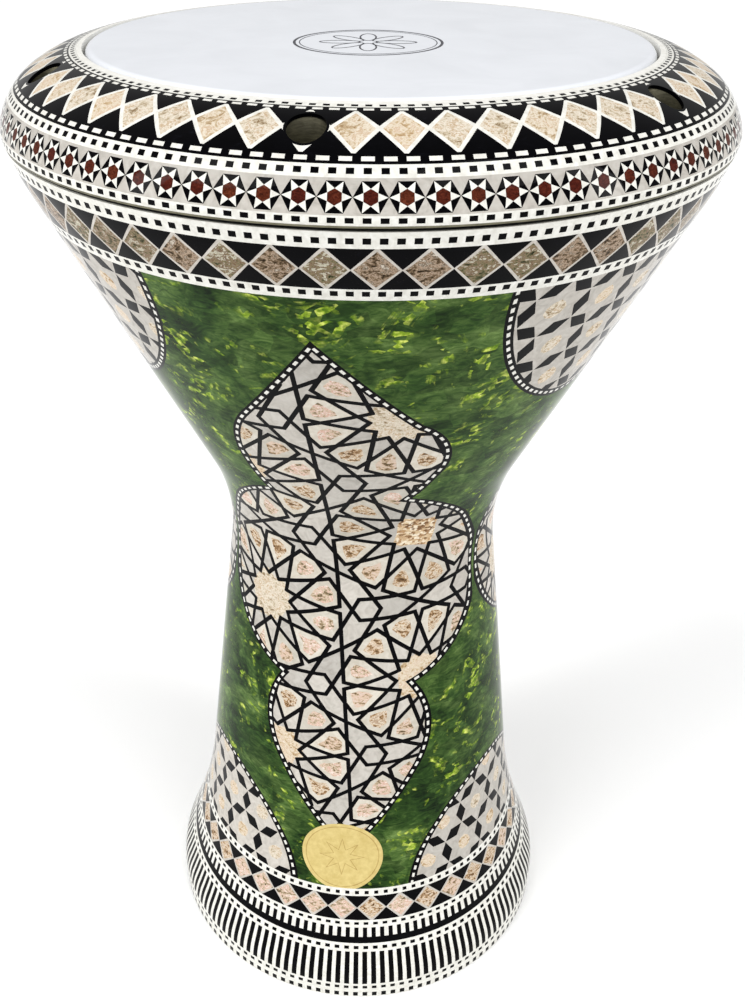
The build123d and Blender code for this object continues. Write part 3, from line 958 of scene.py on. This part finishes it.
# Rosettes of twelve petals; places are (across, along the body) from the panel's centre line
ROSETTE_FIRST = (-36.9, 221.5)
ROSETTE_DOWN = (5.3, -78.8)
ROSETTE_SIDE = (-67.8, -44.6)
IDEAL_SPACING = 78.5
LINE = 1.95
LINE_OVERRUN = 0.7
# One rosette of the panel has a square heart
SQUARE_HEART = (0, -1)
SQUARE_R = 12.4
SQUARE_TURN = 35.0

VALLEY_R = 11.0
TIP_R = 15.27
SHOULDER_R = 28.0
END_R = 34.07
END_ANGLE = 33.0
NET_X = 34.0
NET_GAP = 1.79
KITE_START = (30.38, 15.48)
KITE_END = (42.3, -5.2)


def polar(radius, angle):
    """Point at a radius and an angle in degrees."""
    return (radius * cos(radians(angle)), radius * sin(radians(angle)))


def turned(point, angle):
    """A point turned about the origin by degrees."""
    c, s = cos(radians(angle)), sin(radians(angle))
    return (point[0] * c - point[1] * s, point[0] * s + point[1] * c)


def rosette_lines():
    """Line ends of one rosette, about its centre."""
    half = IDEAL_SPACING / 2
    lines = []
    for k in range(12):
        for way in (-1, 1):
            lines.append((polar(VALLEY_R, 30 * k), polar(END_R, 30 * k + way * END_ANGLE)))
    for k in range(6):
        for way in (-1, 1):
            far = (NET_X, way * half * sin(radians(30)))
            lines.append((turned((NET_X, way * NET_GAP), 60 * k), turned(far, 60 * k)))
            start = (KITE_START[0], way * KITE_START[1])
            end = (KITE_END[0], way * KITE_END[1])
            lines.append((turned(start, 60 * k), turned(end, 60 * k)))
    return lines


def rosette_petals():
    """Loops of the twelve petals of one rosette."""
    petals = []
    for k in range(6):
        for way in (-1, 1):
            loop = [
                polar(TIP_R, 15), polar(SHOULDER_R, 30), KITE_START,
                (NET_X, 9.18), (NET_X, NET_GAP), polar(SHOULDER_R, 0),
            ]
            petals.append([turned((x, way * y), 60 * k) for x, y in loop])
    return petals


def place_rosette(i, j):
    """Function that puts a point of rosette (i, j) on the panel."""
    down = np.array(ROSETTE_DOWN)
    side = np.array(ROSETTE_SIDE)
    ideal = np.array([[0.0, IDEAL_SPACING], [-IDEAL_SPACING * cos(radians(30)), IDEAL_SPACING / 2]]).T
    affine = np.stack([down, side], 1) @ np.linalg.inv(ideal)
    centre = np.array(ROSETTE_FIRST) + i * down + j * side
    return lambda p: tuple(centre + affine @ np.array(p))


def blob(loop, share, corners, jitter, seed):
    """Uneven patch in the middle of a loop."""
    draw = np.random.default_rng(seed)
    centre = np.array(loop).mean(0)
    length, at = trace(loop)
    ring = at((np.arange(corners) + draw.random()) / corners * length)
    size = share * (1 + jitter * (draw.random((corners, 1)) - 0.5) * 2)
    return [tuple(p) for p in centre + (ring - centre) * size]


def near(outline_box, loop, spare=0.0):
    """True where a loop's box meets another box."""
    points = np.array(loop)
    low, high = points.min(0), points.max(0)
    u0, v0, u1, v1 = outline_box
    return low[0] < u1 + spare and high[0] > u0 - spare and low[1] < v1 + spare and high[1] > v0 - spare


def girih_tiles(box):
    """Petals, patches and black lines of the panel."""
    petals, lines = [], []
    for i in range(-4, 6):
        for j in range(-3, 4):
            put = place_rosette(i, j)
            seed = 100 + 17 * (i + 5) + 311 * (j + 4)
            hearts = [put(polar(VALLEY_R + 2.5, 30 * k)) for k in range(12)]
            if (i, j) == SQUARE_HEART:
                square = regular(put((0.0, 0.0)), SQUARE_R, 4, SQUARE_TURN)
                petals.append(("speckle", blob(square, 1.0, 24, 0.06, seed)))
            elif near(box, hearts):
                petals.append(("shell_gold", blob(hearts, 0.9, 17, 0.16, seed)))
            for k, petal in enumerate(rosette_petals()):
                loop = [put(p) for p in petal]
                if near(box, loop):
                    petals.append(("cream", loop))
                    petals.append(("agate", blob(loop, 0.56, 8, 0.22, seed + k + 1)))
            for a, b in rosette_lines():
                loop = bar(put(a), put(b), LINE, LINE_OVERRUN)
                if near(box, loop):
                    lines.append(("jet", loop))
    return petals + lines


girih_outer = girih_outline(0.0)
girih_inner = girih_outline(BORDER)
girih_pattern = girih_tiles(box_of(girih_inner, BOX_SPARE))
for number in range(PANEL_COUNT):
    turn = GIRIH_ANGLE + 360 * number / PANEL_COUNT
    holes = [shift_outline(badge_outline, BADGE_ANGLE - turn)] if number == 0 else []
    lay_panel("girih", number + 1, turn, girih_outer, girih_inner, holes, girih_pattern)

# ---- star lobes

LATTICE = 22.6
RHOMB_LONG = 6.2
RHOMB_WIDE = 3.3
CREAM_DOT = 4.3


def rhomb(centre, angle):
    """A black rhombus with its long axis at an angle in degrees."""
    loop = [(RHOMB_LONG, 0), (0, RHOMB_WIDE), (-RHOMB_LONG, 0), (0, -RHOMB_WIDE)]
    return [plus(centre, turned(p, angle)) for p in loop]


def lobe_tiles(box, first):
    """Rhombi on the edges of a net of triangles, and a cream patch at each knot."""
    rise = LATTICE * sin(radians(60))
    found = []
    for row in range(-6, 7):
        for column in range(-7, 8):
            x = first[0] + LATTICE / 2 + (column + row / 2) * LATTICE
            y = first[1] + row * rise
            ring = regular((x, y), CREAM_DOT, 10, 7.0)
            if near(box, ring):
                found.append(("shell_gold", blob(ring, 1.0, 9, 0.09, 900 + 31 * row + column)))
            for way in (0, 60, 120):
                middle = (x + LATTICE / 2 * cos(radians(way)), y + LATTICE / 2 * sin(radians(way)))
                loop = rhomb(middle, way + 90)
                if near(box, loop):
                    found.append(("jet", loop))
    return found


# Each lobe: where it stands, its oval, and a rhomb that places the pattern
LOBES = [
    ("upper_star", UPPER_STAR_ANGLE, UPPER_STAR_HALF, UPPER_STAR_HEIGHT, 46.3, 378.2),
    ("lower_star", LOWER_STAR_ANGLE, LOWER_STAR_HALF, LOWER_STAR_HEIGHT, 49.5, 73.0),
]
for title, lobe_angle, lobe_half, lobe_height, rhomb_angle, rhomb_height in LOBES:
    is_lower = title == "lower_star"
    outer_loop = oval_outline(lobe_half, lobe_height, 0.0, is_lower)
    inner_loop = oval_outline(lobe_half, lobe_height, BORDER, is_lower)
    first_s = height_to_distance(rhomb_height)
    first_u = float(body_radius(first_s)) * radians(rhomb_angle - lobe_angle)
    pattern = lobe_tiles(box_of(inner_loop, BOX_SPARE), (first_u, first_s))
    for number in range(PANEL_COUNT):
        turn = lobe_angle + 360 * number / PANEL_COUNT
        lay_panel(title, number + 1, turn, outer_loop, inner_loop, [], pattern)

# ---- green ground and badge

GROUND_R = 90.0
BADGE_RING = (18.4, 17.9)
BADGE_STAR_TIP = 11.0
BADGE_STAR_FOOT = 4.4
BADGE_LINE = 0.35


def unroll(outline, turn):
    """An outline on the body in the flat frame of the green ground."""
    return [((u / float(body_radius(s)) + radians(turn)) * GROUND_R, s) for u, s in outline]


def make_ground():
    """Green skin between the panels, all the way round."""
    around = 2 * pi * GROUND_R
    upper = oval_outline(UPPER_STAR_HALF, UPPER_STAR_HEIGHT, 0.0, False)
    lower = oval_outline(LOWER_STAR_HALF, LOWER_STAR_HEIGHT, 0.0, True)
    outlines = [(badge_outline, BADGE_ANGLE)]
    for number in range(PANEL_COUNT):
        turn = 360 * number / PANEL_COUNT
        outlines.append((girih_outer, GIRIH_ANGLE + turn))
        outlines.append((upper, UPPER_STAR_ANGLE + turn))
        outlines.append((lower, LOWER_STAR_ANGLE + turn))
    loops = []
    box = (0.0, FIELD[0], around, FIELD[1])
    for outline, turn in outlines:
        for lap in (-1, 0, 1):
            loop = unroll(outline, turn + 360 * lap)
            if near(box, loop, 1.0):
                loops.append((None, loop))
    flat = cut(box, (around / 120, 5.0), "green", loops)
    points, triangles, paints = repeat(*flat, around, 1)
    angle = points[:, 0] / GROUND_R
    obj = slab("green_ground", body, angle, points[:, 1], triangles, paints)
    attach(obj, "shell")
    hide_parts("green_field")


def badge_tiles():
    """An engraved ring round the outline of an eight-pointed star."""
    middle = (0.0, height_to_distance(BADGE_HEIGHT))
    found = [(paint, regular(middle, r, 64, 0.0)) for paint, r in zip(("brass_cut", "brass"), BADGE_RING)]
    for k in range(8):
        tip = plus(middle, polar(BADGE_STAR_TIP, 45.0 * k))
        for way in (1, -1):
            foot = plus(middle, polar(BADGE_STAR_FOOT, 45.0 * k + 22.5 * way))
            found.append(("brass_cut", bar(foot, tip, BADGE_LINE, LINE_OVERRUN)))
    return found


make_ground()
lay(
    "badge_disc", "round_badge", BADGE_ANGLE, badge_outline, [], "brass", badge_tiles(),
    (2.5, 2.5),
)

# ---- printed figure on the film

FILM_TOP = 444.0
INK_RISE = 0.06
MOTIF_CENTRE = (-0.6, -8.8)
MOTIF_HALF = (27.5, 26.6)
INNER_OVAL = (0.93, 0.91)
PETAL_OUT = 10.5
PETAL_HALF = (7.5, 3.0)


def ribbon(points, width):
    """Sides of a closed line with a width: two rows of points, left and right."""
    line = np.array(points)
    run = np.roll(line, -1, 0) - np.roll(line, 1, 0)
    run /= np.linalg.norm(run, axis=1)[:, None]
    side = np.stack([-run[:, 1], run[:, 0]], 1) * width / 2
    return line + side, line - side


def make_motif():
    """A double oval round a flower of eight petals."""
    wide, tall = MOTIF_HALF
    oval = [(wide * cos(a), tall * sin(a)) for a in circle(120)]
    inner = [(x * INNER_OVAL[0], y * INNER_OVAL[1]) for x, y in oval]
    lines = [(oval, 1.0), (inner, 0.35)]
    petal = [(PETAL_OUT + PETAL_HALF[0] * cos(a), PETAL_HALF[1] * sin(a)) for a in circle(40)]
    for k in range(8):
        lines.append(([turned(point, 45.0 * k) for point in petal], 0.6))
    points, faces = [], []
    for line, width in lines:
        left, right = ribbon(line, width)
        count = len(left)
        start = len(points)
        for height in (FILM_TOP, FILM_TOP + INK_RISE):
            for row in (left, right):
                for x, y in row:
                    points.append(((x + MOTIF_CENTRE[0]) * MM, (y + MOTIF_CENTRE[1]) * MM, height * MM))
        low_left, low_right, top_left, top_right = (start + k * count for k in range(4))
        for k in range(count):
            n = (k + 1) % count
            faces.append((top_left + k, top_right + k, top_right + n, top_left + n))
            faces.append((low_left + k, low_left + n, low_right + n, low_right + k))
            faces.append((low_left + k, top_left + k, top_left + n, low_left + n))
            faces.append((low_right + k, low_right + n, top_right + n, top_right + k))
    mesh = bpy.data.meshes.new("film_motif")
    mesh.from_pydata(points, [], faces)
    mesh.materials.append(MATERIALS["ink"])
    motif = add_object("film_motif", mesh)
    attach(motif, "shell")


make_motif()

# ---- CAD nodes that stay

KEPT = {
    "drum_shell": "cast_shell",
    "tuning_ring": "cast_ring",
    "head_film": "film",
    "flesh_hoop": "aluminium",
    "threaded_inserts": "steel",
    "bolt_washers": "steel",
}
for number in range(1, BOLT_COUNT + 1):
    KEPT[f"tuning_bolt_{number}"] = "steel"
for node, paint in KEPT.items():
    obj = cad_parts[node]
    for entry in obj.material_slots:
        entry.material = MATERIALS[paint]

# ---- floor, light and camera

# The floor lies just below the foot
FLOOR_Z = -0.0003
FLOOR_HALF = 6.0
SUN_SPREAD = 35
WORLD_STRENGTH = 0.57
LAMP_TARGET = Vector((0, 0, 0.3))


def make_floor():
    """Wide pale floor."""
    mesh = bpy.data.meshes.new("floor")
    corners = block(-FLOOR_HALF, -FLOOR_HALF, FLOOR_HALF, FLOOR_HALF)
    mesh.from_pydata([(x, y, FLOOR_Z) for x, y in corners], [], [(0, 1, 2, 3)])
    floor = add_object("floor", mesh)
    p = Paint("floor_white", Roughness=0.8)
    p.colour(p.ramp(p.noise(p.place(), 3.0), (0.0, (0.965,) * 3), (1.0, (0.985,) * 3)))
    mesh.materials.append(MATERIALS["floor_white"])


def make_lamp(name, place, size, power):
    """A soft box aimed at the drum."""
    lamp = bpy.data.lights.new(name, "AREA")
    lamp.shape = "RECTANGLE"
    lamp.size, lamp.size_y = size
    lamp.energy = power
    obj = add_object(name, lamp)
    obj.location = place
    obj.rotation_euler = (LAMP_TARGET - Vector(place)).to_track_quat("-Z", "Y").to_euler()


def make_sun(name, azimuth, height, power):
    """Broad even light from an azimuth (from the front, towards the right) and a height in degrees."""
    lamp = bpy.data.lights.new(name, "SUN")
    lamp.angle = radians(SUN_SPREAD)
    lamp.energy = power
    obj = add_object(name, lamp)
    a, h = radians(azimuth), radians(height)
    away = Vector((sin(a) * cos(h), -cos(a) * cos(h), sin(h)))
    obj.rotation_euler = (-away).to_track_quat("-Z", "Y").to_euler()


def make_world():
    """Even white surroundings."""
    world = bpy.data.worlds.new("studio")
    world.use_nodes = True
    back = world.node_tree.nodes["Background"]
    back.inputs["Color"].default_value = (1.0, 1.0, 1.0, 1.0)
    back.inputs["Strength"].default_value = WORLD_STRENGTH
    bpy.context.scene.world = world


CAMERA_PLACE = (0.0, -0.4494, 0.5163)
CAMERA_PITCH = 31.83
CAMERA_YAW = -1.33
CAMERA_ROLL = 0.16
CAMERA_LENS = 39.91
CAMERA_SHIFT = (0.0315, 0.0013)


def make_camera():
    """Camera a little above the drum, looking down at it."""
    data = bpy.data.cameras.new("camera")
    data.sensor_fit = "VERTICAL"
    data.sensor_height = 36.0
    data.lens = CAMERA_LENS
    data.shift_x, data.shift_y = CAMERA_SHIFT
    camera = add_object("camera", data)
    yaw, pitch = radians(CAMERA_YAW), radians(CAMERA_PITCH)
    ahead = Vector((sin(yaw) * cos(pitch), cos(yaw) * cos(pitch), -sin(pitch)))
    right = ahead.cross(Vector((0, 0, 1))).normalized()
    up = right.cross(ahead)
    turn = Matrix((right, up, -ahead)).transposed() @ Matrix.Rotation(radians(CAMERA_ROLL), 3, "Z")
    camera.matrix_world = Matrix.Translation(CAMERA_PLACE) @ turn.to_4x4()
    bpy.context.scene.camera = camera


make_floor()
make_world()
make_sun("sun_left", -52.0, 46.0, 1.35)
make_sun("sun_right", 48.0, 50.0, 1.1)
make_lamp("strip_left", (-1.3, -0.6, 0.9), (0.25, 1.2), 7.0)
make_lamp("strip_right", (1.4, -0.5, 0.9), (0.25, 1.2), 6.0)
make_camera()
bpy.context.scene.view_settings.view_transform = "Standard"
